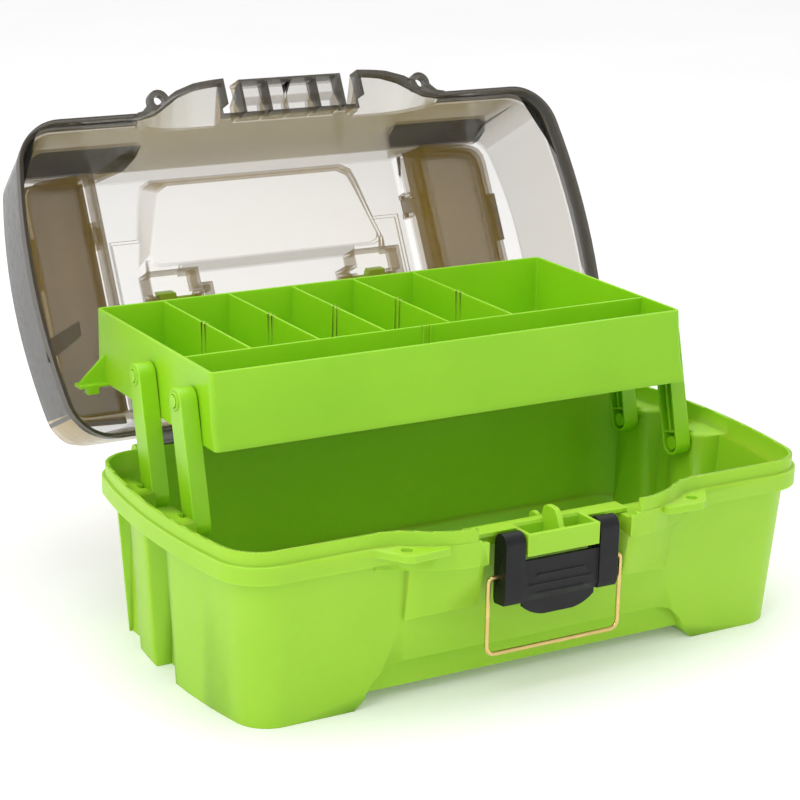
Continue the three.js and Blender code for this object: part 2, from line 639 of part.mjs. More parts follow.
function lidHatchLugs() {
  const lugs = [];
  for (const side of SIDES) {
    for (const a of HATCH.stations) {
      for (const offset of [-8.2, 5.2]) {
        const [front, back] = [-a + offset, -a + offset + 3];
        const { axisX, axisH, stub } = HATCH;
        const foot = sideBlock(side, axisX - 3, axisX + 3, front, back, LID.roofZ - 6, axisH);
        const lug = foot.add(rodY(side * axisX, axisH, 3, front, back));
        lugs.push(lug.subtract(rodY(side * axisX, axisH, stub + 0.35, front - 1, back + 1)));
      }
    }
  }
  return lugs;
}

// Flat fins inside each end that meet the tray's lugs as the lid rises.
function liftTab(side) {
  const corners = [[192, 72], [168.4, 82.5], [168.4, 73.5], [192, 60]];
  return prismZ(corners.map(([x, a]) => [side * x, -a]), 8, 10);
}

// What is sliced off the front wall before each bin: a sloping facet with drafted ends.
function frontFacet(side, grow) {
  const { near, far, low, high, draft } = FACET;
  const slope = [
    [low[0] + grow, low[1] - grow], [high[0] + grow, high[1] - grow], [high[0] + grow, 130], [-260, 130],
    [-260, low[1] - grow],
  ];
  const [left, right] = side > 0 ? [near - grow, far + grow] : [-far - grow, grow - near];
  const plan = [
    [near - grow, low[1] - 5], [far + grow, low[1] - 5], [far - draft + grow, high[1] + 30],
    [near + 4 * draft - grow, high[1] + 30], [near - grow, high[1] - 14],
  ];
  const ends = prismY(plan.map(([x, z]) => [side * x, z]), -260, -180);
  return prismX(slope, left, right).intersect(ends);
}

// The front wall steps back a little above a long flat arch between the two facets.
function archStep(grow) {
  const { depth, midZ, midHalf, endZ, endHalf } = ARCH_STEP;
  const [low, high, middle, end] = [midZ - grow, endZ - grow, midHalf, endHalf + grow];
  const arch = new THREE.Shape();
  arch.moveTo(-end, 130);
  arch.lineTo(-end, high);
  arch.bezierCurveTo(-end + 8, low + 8, -middle - 18, low, -middle + 6, low);
  arch.lineTo(middle - 6, low);
  arch.bezierCurveTo(middle + 18, low, end - 8, low + 8, end, high);
  arch.lineTo(end, 130);
  arch.closePath();
  const shift = depth + grow;
  const wall = [
    [-260, 30], [-202 + shift, 30], [-198 + shift, 62], [-193 + shift, 84], [-186 + shift, 130], [-260, 130],
  ];
  return prismY(arch, -260, -180).intersect(prismX(wall, -end - 1, end + 1));
}

function lidKnuckles() {
  const knuckles = [];
  const { stationX, halfLength, barrel } = HINGE;
  for (const side of SIDES) {
    const room = LUG_LENGTH + 0.4;
    const [near, far] = [stationX - halfLength + room, stationX + halfLength - room];
    knuckles.push(sideRod(side, 0, 0, barrel, near, far, 18));
    knuckles.push(sideBlock(side, near, far, -11, -1, LID.rimBottom + 0.4, 3.6));
  }
  return knuckles;
}

function buildLid() {
  const outer = lidDome(0);
  let lid = union([outer, lidRim()]);
  for (const side of SIDES) {
    lid = lid.add(lidWing(side, 0)).add(lidEar(side));
  }
  const steps = (grow) => [frontFacet(-1, grow), frontFacet(1, grow), archStep(grow)];
  lid = cutAll(lid, steps(0));
  const hollow = union([cutAll(lidDome(LID.wall), steps(LID.wall)), lidRimHollow()]);
  lid = lid.subtract(hollow);
  for (const side of SIDES) lid = lid.subtract(lidWing(side, LID.wall + 0.4));
  lid = lid.add(lidComb());
  // Bins and the handle well hang into the hollow, then open to the outside.
  const inserts = union([lidBin(-1, LID.wall), lidBin(1, LID.wall), handleWell(LID.wall)]);
  lid = lid.add(cutAll(inserts.intersect(outer), steps(0)));
  lid = cutAll(lid, [lidBin(-1, 0), lidBin(1, 0), handleWell(0)]);
  lid = lid.add(union(handleBosses()));
  lid = lid.add(union(lidHatchLugs()));
  lid = lid.add(union([liftTab(-1), liftTab(1)]));
  lid = lid.add(union(lidKnuckles()));
  for (const side of SIDES) {
    lid = lid.subtract(rodZ(side * EAR.x, EAR.y + lidMidY, EAR.holeRadius, -10, 20));
    lid = lid.subtract(sideRod(side, 0, 0, HINGE.pin + HINGE.clearance, 90, 170, 18));
  }
  return namedMesh('lid_shell', lid, SMOKE);
}

// ---------- hatches ----------

// The dome's sloping shoulder over a bin: its height at a distance from the middle plane.
function shoulderHeight(x) {
  const roofEdge = LID.roofX + 2;
  const slope = (LID.roofZ - 4 - LID.shoulderZ) / (LID.shoulderX - roofEdge);
  return LID.roofZ - 4 - slope * (x - roofEdge);
}

// The cover of one bin, lying on the shoulder, with a skirt that plugs the bin, two hinge
// knuckles with stub pins and a snap tongue over its outer edge.
function buildHatch(side, name) {
  const near = HATCH.axisX + 3.8;
  const far = BIN.outer + 5;
  const t = HATCH.thickness;
  const low = (x) => shoulderHeight(x) + GAP;
  const slab = [[near, low(near)], [far, low(far)], [far, low(far) + t], [near, low(near) + t]];
  const plan = prismZ(binShape(side, 4), 0, 130).subtract(sideBlock(side, 0, near, -300, 10, 0, 130));
  let hatch = prismY(slab.map(([x, z]) => [side * x, z]), -260, 0).intersect(plan);
  const core = prismZ(binShape(side, -HATCH.skirtGap - HATCH.skirtWall), 0, 120);
  const [leftOfBin, rightOfBin] = [BIN.inner - 10, BIN.outer + 10];
  const above = [
    [leftOfBin, low(leftOfBin) + t], [rightOfBin, low(rightOfBin) + t], [rightOfBin, 130], [leftOfBin, 130],
  ];
  const full = prismZ(binShape(side, -HATCH.skirtGap), BIN.floor + 12, 120).subtract(core);
  hatch = hatch.add(full.subtract(prismY(above.map(([x, z]) => [side * x, z]), -260, 0)));
  const thumb = [
    [far - 2, low(far - 2)], [far + 5, low(far + 5)],
    [far + 5, low(far + 5) + t + 0.8], [far - 2, low(far - 2) + t],
  ];
  hatch = hatch.add(prismY(thumb.map(([x, z]) => [side * x, z]), -150, -117));
  for (const a of HATCH.stations) {
    const [front, back] = [-a - 4.8, -a + 4.8];
    hatch = hatch.add(rodY(side * HATCH.axisX, HATCH.axisH, HATCH.knuckle, front, back));
    hatch = hatch.add(rodY(side * HATCH.axisX, HATCH.axisH, HATCH.stub, front - 3, back + 3));
    const web = [
      [HATCH.axisX, HATCH.axisH + 2.3], [HATCH.axisX, HATCH.axisH - 1.8],
      [near + 2, low(near + 2) + 0.4], [near + 7, low(near + 7) + t],
    ];
    hatch = hatch.add(prismY(web.map(([x, z]) => [side * x, z]), front, back));
  }
  return namedMesh(name, hatch, SMOKE);
}

// ---------- handle (drawn stowed, pivot axis on the X axis, grip towards -Y) ----------

function buildHandle() {
  const { reach, width, thickness, pinRadius } = HANDLE;
  const [pivotX, gripX] = [77, 65];
  const outer = new THREE.Shape();
  outer.moveTo(-pivotX - width / 2, 6);
  outer.lineTo(-gripX - width / 2, -reach + 10);
  outer.quadraticCurveTo(-gripX - width / 2, -reach, -gripX + 6, -reach);
  outer.lineTo(gripX - 6, -reach);
  outer.quadraticCurveTo(gripX + width / 2, -reach, gripX + width / 2, -reach + 10);
  outer.lineTo(pivotX + width / 2, 6);
  outer.lineTo(pivotX - width / 2, 6);
  outer.lineTo(gripX - width / 2, -reach + 24);
  outer.quadraticCurveTo(gripX - width / 2 - 1, -reach + 17, gripX - 16, -reach + 17);
  outer.lineTo(-gripX + 16, -reach + 17);
  outer.quadraticCurveTo(-gripX + width / 2 + 1, -reach + 17, -gripX + width / 2, -reach + 24);
  outer.lineTo(-pivotX + width / 2, 6);
  outer.closePath();
  let handle = prismZ(outer, -thickness / 2, thickness / 2, 6);
  for (const side of SIDES) {
    handle = handle.add(sideRod(side, 0, 0, pinRadius, POCKET.inner + 2, POCKET.outer - 1, 16));
  }
  return namedMesh('carry_handle', handle, LIME);
}

// ---------- arms (drawn upright, lower pivot at the origin) ----------

function buildArm(side, name) {
  const { inner, outer, radius, length } = ARM;
  const [left, right] = side > 0 ? [inner, outer] : [-outer, -inner];
  const webX = outer - 2.2;
  const channel = (r, from, to) => {
    const slot = stadium(r, to - from);
    const [near, far] = side > 0 ? [inner - 1, webX] : [-webX, -inner + 1];
    return prismX(slot, near, far, 5).translate([0, 0, from]);
  };
  let arm = prismX(stadium(radius, length), left, right, 7);
  arm = arm.subtract(channel(radius - 1.5, 0, length));
  arm = arm.add(sideRod(side, 0, length, PIVOT.ring, inner, outer));
  arm = arm.add(sideRod(side, 0, 0, PIVOT.lowerStud + 1.2, inner + 1, webX + 1));
  arm = arm.add(sideBlock(side, inner + 1, webX + 1, -radius + 1, radius - 1, 6.5, 7.9));
  arm = arm.add(sideBlock(side, inner + 1, webX + 1, -0.8, 0.8, 7, length - 4));
  arm = arm.add(sideRod(side, 0, length, PIVOT.ring, outer - 1, outer + 0.9));
  arm = arm.add(sideRod(side, 0, 0, PIVOT.lowerStud, webX, POST.face + 2.1));
  arm = arm.subtract(sideRod(side, 0, length, PIVOT.hole, inner - 1, outer + 2));
  return namedMesh(name, arm, LIME);
}

// ---------- tray ----------

function trayRing(z, halfWidth, front, back, radius) {
  const points = roundedRectangle(-halfWidth, halfWidth, front, back, radius).getPoints(3);
  const open = points.filter((point, i) => i === 0 || point.distanceTo(points[i - 1]) > 1e-3);
  if (open[0].distanceTo(open[open.length - 1]) < 1e-3) open.pop();
  return { z, points: open };
}

function trayShell() {
  const t = TRAY;
  const outer = loft([
    trayRing(t.bottom, t.footHalfWidth - 0.8, t.footFront, t.back - 1, 3),
    trayRing(t.bottom + 4, t.footHalfWidth - 0.8, t.footFront + 0.4, t.back - 1, 3),
    trayRing(t.flareZ, t.halfWidth + 0.2, t.flareFront, t.back - 0.5, 3),
    trayRing(t.top, t.halfWidth, t.front, t.back, 3),
  ]);
  const inner = loft([
    trayRing(t.floorTop, t.halfWidth - t.wall, t.footFront + t.wall + 1.4, t.back - t.wall - 1, 1.8),
    trayRing(t.flareZ, t.halfWidth - t.wall, t.flareFront + t.wall, t.back - t.wall - 0.5, 1.8),
    trayRing(t.top + 1, t.halfWidth - t.wall, t.front + t.wall, t.back - t.wall, 1.8),
  ]);
  const underHalf = t.halfWidth - t.wall - 0.8;
  const under = loft([
    trayRing(t.bottom - 1, underHalf, t.footFront + t.wall + 0.4, t.back - t.wall - 2, 1.8),
    trayRing(t.floorTop - t.wall, underHalf, t.footFront + t.wall + 1.2, t.back - t.wall - 2, 1.8),
  ]);
  return outer.subtract(inner).subtract(under);
}

function trayPartitions() {
  const t = TRAY;
  const bottom = t.floorTop - 0.6;
  const top = t.top - 0.6;
  const half = t.rib / 2;
  const walls = [block(-t.halfWidth + 1, t.halfWidth - 1, t.midWallY - half, t.midWallY + half, bottom, top)];
  const slotY = (t.midWallY + t.back) / 2 + 2;
  for (let i = 1; i <= 5; i += 1) {
    const x = -t.halfWidth + i * t.pitch;
    walls.push(block(x - half, x + half, t.midWallY, t.back - 1, bottom, top));
    for (const step of SIDES) {
      const y = slotY + step * t.slotGap;
      walls.push(block(x - half - 1.1, x + half + 1.1, y - 0.6, y + 0.6, bottom, top + 0.3));
    }
  }
  for (const step of SIDES) {
    const x = 0.8 + step * t.slotGap;
    walls.push(block(x - 0.6, x + 0.6, t.midWallY - half - 1.1, t.midWallY, bottom, top + 0.3));
    walls.push(block(x - 0.6, x + 0.6, t.front - 0.4, t.front + t.wall + 1.1, t.flareZ, top));
    const y = slotY + step * t.slotGap;
    walls.push(sideBlock(-1, t.halfWidth - t.wall - 1.1, t.halfWidth - 1, y - 0.6, y + 0.6, bottom, top));
  }
  return walls;
}

// Pivot studs, the snap fingers around them, and the lugs that the lid's fins meet.
function trayFittings() {
  const pieces = [];
  const lean = THREE.MathUtils.degToRad(ARM.lean);
  const studY = (lower) => lower + Math.sin(lean) * ARM.length;
  const studZ = ARM.lowerZ + Math.cos(lean) * ARM.length;
  const root = TRAY.halfWidth - 1;
  const [front, back] = [LUG.y - 4.5, LUG.y + 4.5];
  for (const side of SIDES) {
    for (const lower of [ARM_Y.front, ARM_Y.rear]) {
      pieces.push(sideRod(side, studY(lower), studZ, PIVOT.stud, root, ARM.outer + 1.4, 18));
    }
    pieces.push(sideBlock(side, root, LUG.tipX, front, back, LUG.plateZ - 2, LUG.plateZ));
    const gusset = [
      [root, LUG.plateZ - 1], [LUG.tipX, LUG.plateZ - 1], [LUG.tipX, LUG.plateZ],
      [TRAY.halfWidth, LUG.gussetZ], [root, LUG.gussetZ],
    ];
    pieces.push(prismY(gusset.map(([x, z]) => [side * x, z]), LUG.y - 0.8, LUG.y + 0.8));
    pieces.push(sideBlock(side, 162, 169, front, LUG.y + 1, LUG.hookZ, LUG.plateZ - 1));
  }
  return pieces;
}

function buildTray() {
  const inside = loft([
    trayRing(TRAY.bottom, TRAY.halfWidth - 0.5, TRAY.front - 6, TRAY.back - 0.5, 2),
    trayRing(TRAY.top + 2, TRAY.halfWidth - 0.5, TRAY.front + 0.5, TRAY.back - 0.5, 2),
  ]);
  const walls = union(trayPartitions()).intersect(inside);
  return namedMesh('tray', union([trayShell(), walls, ...trayFittings()]), LIME);
}

// ---------- latch ----------

// The lever: two round-topped arms beside the catch box, a ribbed plate between them below it,
// and a finger tab. Its stub pins turn in the catch box's side walls.
function leverArmShape() {
  const { y, z, radius, bottom, chamfer } = LEVER;
  const shape = new THREE.Shape();
  shape.absarc(y, z, radius, 0, Math.PI);
  shape.lineTo(y - radius, bottom + chamfer);
  shape.lineTo(y - radius + 1.4, bottom);
  shape.lineTo(y + radius - 1, bottom - 1);
  shape.lineTo(y + radius, bottom + 2);
  shape.closePath();
  return shape;
}

function leverTabShape() {
  const half = LEVER.inner - 0.8;
  const shape = new THREE.Shape();
  shape.moveTo(-half, LEVER.bottom + 3);
  shape.lineTo(-half, LEVER.bottom - 3);
  shape.quadraticCurveTo(-half + 6, LEVER.tabBottom + 1, -half + 14, LEVER.tabBottom);
  shape.lineTo(half - 14, LEVER.tabBottom);
  shape.quadraticCurveTo(half - 6, LEVER.tabBottom + 1, half, LEVER.bottom - 3);
  shape.lineTo(half, LEVER.bottom + 3);
  shape.closePath();
  return shape;
}

function buildLever() {
  const { inner, outer, y, z, radius, bottom, chamfer, plateFront, plateTop, plateThickness } = LEVER;
  const pieces = [];
  for (const side of SIDES) {
    const [left, right] = side > 0 ? [inner, outer] : [-outer, -inner];
    pieces.push(prismX(leverArmShape(), left, right, 6));
    pieces.push(sideRod(side, y, z, LEVER.pin, CATCH.halfWidth - 1.6, inner + 1, 14));
  }
  const plate = [
    [plateFront, plateTop], [plateFront, bottom + chamfer], [plateFront + 1.4, bottom],
    [plateFront + plateThickness + 1, bottom], [plateFront + plateThickness, bottom + 4],
    [plateFront + plateThickness, plateTop],
  ];
  pieces.push(prismX(plate, -inner - 1, inner + 1));
  pieces.push(prismY(leverTabShape(), plateFront + 1.6, plateFront + 3.6, 5));
  for (const [height, half] of LEVER.ridges) {
    pieces.push(block(-half, half, plateFront - 0.7, plateFront + 0.4, height - 0.5, height + 0.5));
  }
  let lever = union(pieces);
  for (const side of SIDES) {
    lever = lever.subtract(sideRod(side, BAIL.y, BAIL.z, BAIL.wire + 0.2, outer - 4, outer + 1, 14));
    // Each arm is hollow behind.
    const [skin, open] = [y - radius + 2.4, y + radius + 2];
    const hollow = [[open, bottom - 3], [skin, bottom + chamfer], [skin, z - 6], [open, z - 10]];
    const [near, far] = [inner + 2, outer - 4.4];
    lever = lever.subtract(prismX(hollow, side > 0 ? near : -far, side > 0 ? far : -near));
  }
  return namedMesh('latch_lever', lever, BLACK);
}

// The wire loop: down both sides of the lever and across below it, its ends turned into the lever.
function buildBail() {
  const { halfWidth, y, z, drop, wire, corner } = BAIL;
  const path = new THREE.CurvePath();
  const at = (x, height) => new THREE.Vector3(x, y, height);
  const bottom = z - drop;
  const end = LEVER.outer - 3.4;
  const bend = 3;
  const spans = [
    [at(-end, z), at(-halfWidth + bend, z)],
    [at(-halfWidth, z - bend), at(-halfWidth, bottom + corner)],
    [at(-halfWidth + corner, bottom), at(halfWidth - corner, bottom)],
    [at(halfWidth, bottom + corner), at(halfWidth, z - bend)],
    [at(halfWidth - bend, z), at(end, z)],
  ];
  const corners = [at(-halfWidth, z), at(-halfWidth, bottom), at(halfWidth, bottom), at(halfWidth, z)];
  spans.forEach(([from, to], i) => {
    path.add(new THREE.LineCurve3(from, to));
    if (i < corners.length) path.add(new THREE.QuadraticBezierCurve3(to, corners[i], spans[i + 1][0]));
  });
  const section = new THREE.Shape();
  section.absarc(0, 0, wire, 0, 2 * Math.PI);
  const points = path.getPoints(6).filter((point, i, all) => i === 0 || point.distanceTo(all[i - 1]) > 0.05);
  const smooth = new THREE.CatmullRomCurve3(points, false, 'centripetal');
  const geometry = new THREE.ExtrudeGeometry(section, {
    steps: 48, extrudePath: smooth, curveSegments: 4, bevelEnabled: false,
  });
  return namedMesh('latch_bail', solid(geometry), BRASS);
}

// ---------- assembly ----------

const box = new THREE.Group();
box.add(buildTub());
box.add(buildHingePin(-1, 'hinge_pin_left'));
box.add(buildHingePin(1, 'hinge_pin_right'));

const lid = new THREE.Group();
lid.position.set(0, HINGE.y, HINGE.z);
lid.rotation.x = -LID_OPEN;
lid.add(buildLid());
lid.add(buildHatch(-1, 'hatch_left'));
lid.add(buildHatch(1, 'hatch_right'));
const handleGroup = new THREE.Group();
handleGroup.position.set(0, -HANDLE.a, HANDLE.h);
handleGroup.rotation.x = -HANDLE_HANG;
handleGroup.add(buildHandle());
lid.add(handleGroup);
box.add(lid);

for (const [sideName, side] of [['left', -1], ['right', 1]]) {
  for (const [placeName, y] of Object.entries(ARM_Y)) {
    const armGroup = new THREE.Group();
    armGroup.position.set(0, y, ARM.lowerZ);
    armGroup.rotation.x = -THREE.MathUtils.degToRad(ARM.lean);
    armGroup.add(buildArm(side, `arm_${placeName}_${sideName}`));
    box.add(armGroup);
  }
}
box.add(buildTray());
box.add(buildLever());
box.add(buildBail());

// The origin is the middle of the open box's footprint, on the ground.
const extent = new THREE.Box3().setFromObject(box, true);
box.position.y = -(extent.min.y + extent.max.y) / 2;

export default box;
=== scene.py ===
import math

import bmesh
import bpy
from mathutils import Matrix, Vector


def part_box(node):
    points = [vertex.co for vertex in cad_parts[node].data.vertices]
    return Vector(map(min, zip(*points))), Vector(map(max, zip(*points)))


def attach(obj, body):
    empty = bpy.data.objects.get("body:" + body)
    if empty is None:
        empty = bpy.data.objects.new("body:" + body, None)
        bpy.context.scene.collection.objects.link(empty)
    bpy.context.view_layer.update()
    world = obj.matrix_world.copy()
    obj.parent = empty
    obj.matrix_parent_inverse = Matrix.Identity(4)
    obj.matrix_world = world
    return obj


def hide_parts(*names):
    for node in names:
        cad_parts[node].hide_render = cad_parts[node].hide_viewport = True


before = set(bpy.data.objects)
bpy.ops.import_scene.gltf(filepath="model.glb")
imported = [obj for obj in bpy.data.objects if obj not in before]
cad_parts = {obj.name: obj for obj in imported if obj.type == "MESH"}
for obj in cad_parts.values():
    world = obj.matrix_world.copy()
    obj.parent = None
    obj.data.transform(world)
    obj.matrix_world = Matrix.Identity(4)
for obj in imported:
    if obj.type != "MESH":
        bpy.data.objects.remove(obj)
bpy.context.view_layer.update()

MM = 0.001
BEVEL_SAMPLES = 6
EDGE_TURN = 0.35


# ---------- node helpers ----------

class Nodes:
    """A small wrapper that adds shader nodes to one material and links them."""

    def __init__(self, name):
        self.material = bpy.data.materials.new(name)
        self.material.use_nodes = True
        self.tree = self.material.node_tree
        self.tree.nodes.clear()
        self.output = self.add("ShaderNodeOutputMaterial")
        self.shader = self.add("ShaderNodeBsdfPrincipled")
        self.link(self.shader.outputs["BSDF"], self.output.inputs["Surface"])
        self.place = self.add("ShaderNodeTexCoord").outputs["Object"]

    def add(self, kind, **settings):
        node = self.tree.nodes.new(kind)
        for key, value in settings.items():
            setattr(node, key, value)
        return node

    def link(self, source, target):
        self.tree.links.new(source, target)

    def noise(self, scale, detail=3.0, roughness=0.5):
        node = self.add("ShaderNodeTexNoise")
        node.inputs["Scale"].default_value = scale
        node.inputs["Detail"].default_value = detail
        node.inputs["Roughness"].default_value = roughness
        self.link(self.place, node.inputs["Vector"])
        return node.outputs["Fac"]

    def remap(self, value, low, high, out_low, out_high):
        node = self.add("ShaderNodeMapRange")
        self.link(value, node.inputs["Value"])
        limits = {"From Min": low, "From Max": high, "To Min": out_low, "To Max": out_high}
        for key, number in limits.items():
            node.inputs[key].default_value = number
        return node.outputs["Result"]

    def math(self, operation, first, second):
        node = self.add("ShaderNodeMath", operation=operation)
        for socket, value in zip(node.inputs, (first, second)):
            if isinstance(value, (int, float)):
                socket.default_value = value
            else:
                self.link(value, socket)
        return node.outputs["Value"]

    def mix(self, factor, first, second):
        node = self.add("ShaderNodeMix", data_type="RGBA")
        self.link(factor, node.inputs["Factor"])
        for key, value in (("A", first), ("B", second)):
            socket = [s for s in node.inputs if s.name == key and s.type == "RGBA"][0]
            if isinstance(value, tuple):
                socket.default_value = (*value, 1.0)
            else:
                self.link(value, socket)
        return [s for s in node.outputs if s.type == "RGBA"][0]

    def edges(self, radius):
        """1 along the edges of the shape, 0 on flat and gently curved faces."""
        bevel = self.add("ShaderNodeBevel", samples=BEVEL_SAMPLES)
        bevel.inputs["Radius"].default_value = radius
        geometry = self.add("ShaderNodeNewGeometry")
        dot = self.add("ShaderNodeVectorMath", operation="DOT_PRODUCT")
        self.link(bevel.outputs["Normal"], dot.inputs[0])
        self.link(geometry.outputs["Normal"], dot.inputs[1])
        turned = self.math("SUBTRACT", 1.0, dot.outputs["Value"])
        return self.remap(turned, 0.0, EDGE_TURN, 0.0, 1.0)

    def bump(self, height, strength, distance, bevel_radius=0.0):
        node = self.add("ShaderNodeBump")
        node.inputs["Strength"].default_value = strength
        node.inputs["Distance"].default_value = distance
        self.link(height, node.inputs["Height"])
        if bevel_radius:
            bevel = self.add("ShaderNodeBevel", samples=BEVEL_SAMPLES)
            bevel.inputs["Radius"].default_value = bevel_radius
            self.link(bevel.outputs["Normal"], node.inputs["Normal"])
        self.link(node.outputs["Normal"], self.shader.inputs["Normal"])


# ---------- materials ----------

def lime_plastic(name, base, shade, grain, roughness):
    """Moulded polypropylene: faint flow marks, edges painted paler as a painted highlight, fine grain.
    """
    n = Nodes(name)
    flow = n.remap(n.noise(14.0, 4.0), 0.35, 0.65, 0.0, 1.0)
    colour = n.mix(flow, base, shade)
    # Painted highlight: the edges are painted a paler lime, standing for the light their rounding
    # catches.
    colour = n.mix(n.math("MULTIPLY", n.edges(0.7 * MM), 0.55), colour, (0.58, 0.86, 0.20))
    n.link(colour, n.shader.inputs["Base Color"])
    scuff = n.remap(n.noise(160.0, 5.0, 0.7), 0.45, 0.75, 0.0, 0.10)
    n.link(n.math("ADD", scuff, roughness), n.shader.inputs["Roughness"])
    n.bump(n.noise(1500.0, 2.0), grain, 0.12 * MM, 0.5 * MM)
    n.shader.inputs["IOR"].default_value = 1.49
    n.shader.inputs["Subsurface Weight"].default_value = 0.6
    n.shader.inputs["Subsurface Radius"].default_value = (0.6, 1.0, 0.1)
    n.shader.inputs["Subsurface Scale"].default_value = 3.0 * MM
    return n.material


def smoke_plastic(name, base, thin, thick, slant_range=(0.0, 1.0), gloss=0.35):
    """See-through smoke styrene: the light passing it has farther to go at a slant and at edges, and the
    edges are also painted dark as painted shade.
    """
    n = Nodes(name)
    cloud = n.remap(n.noise(9.0, 3.0), 0.35, 0.65, 0.0, 1.0)
    paler = tuple(channel * 1.12 for channel in base)
    edge = n.edges(1.0 * MM)
    # Painted shade: every edge is painted almost black, on top of its greater opacity.
    tint = n.mix(n.math("MULTIPLY", edge, 0.8), n.mix(cloud, base, paler), (0.035, 0.034, 0.03))
    n.link(tint, n.shader.inputs["Base Color"])
    slant = n.add("ShaderNodeLayerWeight")
    slant.inputs["Blend"].default_value = 0.5
    reach = n.remap(n.math("POWER", slant.outputs["Facing"], 1.1), *slant_range, 0.0, 1.0)
    reach = n.math("MAXIMUM", reach, n.math("MULTIPLY", edge, 0.85))
    n.link(n.remap(reach, 0.0, 1.0, thin, thick), n.shader.inputs["Alpha"])
    n.link(n.remap(n.noise(220.0, 4.0), 0.4, 0.75, 0.14, 0.26), n.shader.inputs["Roughness"])
    n.bump(n.noise(700.0, 2.0), 0.06, 0.08 * MM, 0.5 * MM)
    n.shader.inputs["IOR"].default_value = 1.57
    n.shader.inputs["Specular IOR Level"].default_value = gloss
    return n.material


def black_plastic(name):
    """Dark glossy moulding with a fine grain and faintly paler edges."""
    n = Nodes(name)
    tone = n.remap(n.noise(60.0, 4.0), 0.35, 0.65, 0.0, 1.0)
    colour = n.mix(tone, (0.004, 0.004, 0.005), (0.008, 0.008, 0.009))
    colour = n.mix(n.math("MULTIPLY", n.edges(0.5 * MM), 0.3), colour, (0.06, 0.06, 0.065))
    n.link(colour, n.shader.inputs["Base Color"])
    n.link(n.remap(n.noise(300.0, 4.0), 0.4, 0.7, 0.36, 0.48), n.shader.inputs["Roughness"])
    n.bump(n.noise(2100.0, 2.0), 0.25, 0.12 * MM, 0.5 * MM)
    n.shader.inputs["Specular IOR Level"].default_value = 0.3
    return n.material


def metal(name, base, dull, roughness, streak):
    """Drawn metal whose tone and gloss wander a little."""
    n = Nodes(name)
    drawn = n.remap(n.noise(streak, 4.0), 0.35, 0.7, 0.0, 1.0)
    n.link(n.mix(drawn, base, dull), n.shader.inputs["Base Color"])
    n.link(n.remap(drawn, 0.0, 1.0, roughness, roughness + 0.14), n.shader.inputs["Roughness"])
    n.bump(n.noise(900.0, 2.0), 0.1, 0.05 * MM)
    n.shader.inputs["Metallic"].default_value = 1.0
    return n.material


LIME = lime_plastic("lime_body", (0.32, 0.60, 0.016), (0.35, 0.63, 0.024), 0.30, 0.42)
LIME_SMOOTH = lime_plastic("lime_smooth", (0.29, 0.61, 0.008), (0.32, 0.64, 0.012), 0.10, 0.35)
SMOKE = smoke_plastic("smoke_lid", (0.31, 0.20, 0.018), 0.09, 1.0)
# Darker smoke: on the rim for its thicker plastic, and on the steep front facets as painted shade.
SMOKE_RIM_AND_SHADE = smoke_plastic("smoke_rim_and_shade", (0.040, 0.030, 0.014), 0.66, 0.98)
# Painted shade: the lid's outer ends get a near-black, barely glossy smoke that turns opaque at a slant.
SMOKE_END = smoke_plastic("smoke_end", (0.022, 0.021, 0.017), 0.16, 0.97, (0.40, 0.58), 0.08)
SMOKE_HATCH = smoke_plastic("smoke_hatch", (0.20, 0.10, 0.004), 0.60, 0.98)
BLACK = black_plastic("latch_black")
BRASS = metal("bail_brass", (0.74, 0.55, 0.22), (0.68, 0.49, 0.19), 0.22, 120.0)
STEEL = metal("pin_steel", (0.62, 0.62, 0.63), (0.45, 0.45, 0.46), 0.24, 420.0)


# ---------- mesh helpers ----------

FLAT_ANGLE = math.radians(0.6)
SHARP_ANGLE = math.radians(28.0)
SHADING_ANGLE = math.radians(32.0)
WIDEST_ROUND = 2.4

def face_width(face):
    """The mean width of a face: the exact width of a long strip."""
    return 2.0 * face.calc_area() / face.calc_perimeter()


# The lid as if shut: x along the hinge, z up from it, and the front towards -y.
HINGE_LINE = Vector((0.0, 27.156 * MM, 96.5 * MM))
LID_SHUT = Matrix.Rotation(math.radians(117.4), 3, "X")
RIM_TOP = 9.2 * MM
END_WALL = 180 * MM
FACET = {"near": 93 * MM, "far": 168 * MM, "low": 34 * MM, "high": 68 * MM, "front": -184 * MM}


def lid_smoke_and_shade(face):
    """Which smoke a lid face takes: 0 clear, 1 solid rim and steep front facets, 2 outer ends; the
    facets and the outer ends are painted shade.
    """
    shut = LID_SHUT @ (face.center - HINGE_LINE)
    on_facet = (
        FACET["near"] < abs(shut.x) < FACET["far"]
        and FACET["low"] < shut.z < FACET["high"]
        and shut.y < FACET["front"]
    )
    if shut.z < RIM_TOP or on_facet:
        return 1
    outward = face.normal.x * shut.x > 0.0
    return 2 if outward and abs(face.normal.x) > 0.25 and abs(shut.x) > END_WALL else 0


